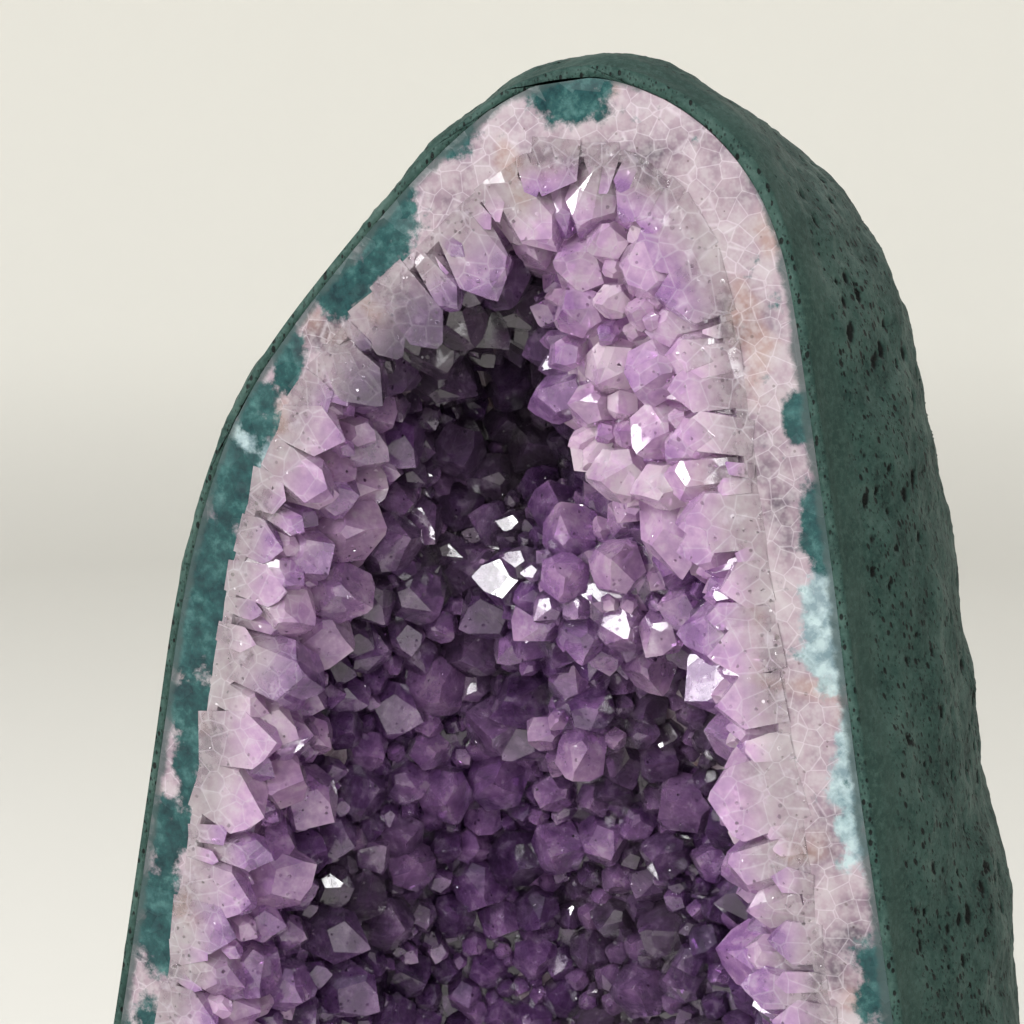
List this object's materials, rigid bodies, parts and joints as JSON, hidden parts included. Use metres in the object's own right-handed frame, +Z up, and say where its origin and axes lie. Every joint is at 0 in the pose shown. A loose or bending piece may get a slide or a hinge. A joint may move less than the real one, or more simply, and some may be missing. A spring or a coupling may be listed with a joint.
{
  "type": "amethyst geode",
  "caption": "Tall cathedral geode half, sawn open: dark basalt crust, pale quartz wall and a hollow lined with violet amethyst points, standing on a flat ground base.",
  "frame": {"origin": "on the ground plane, under the centre of the bounding box", "axes": "+Z up along the stone's length, -Y out of the sawn face, +Y towards the rounded back"},
  "size_m": [0.2206, 0.1254, 0.3858],
  "materials": {
    "basalt_crust": "matte, porous, dark grey-green",
    "pale_quartz": "polished on the sawn face, pinkish white with blue-green patches",
    "amethyst": "glossy natural crystal faces, violet tips on pale roots"
  },
  "bodies": {
    "root": {"rind": "basalt_crust", "quartz_wall": "pale_quartz", "amethyst_crystals": "amethyst"}
  },
  "joints": []
}
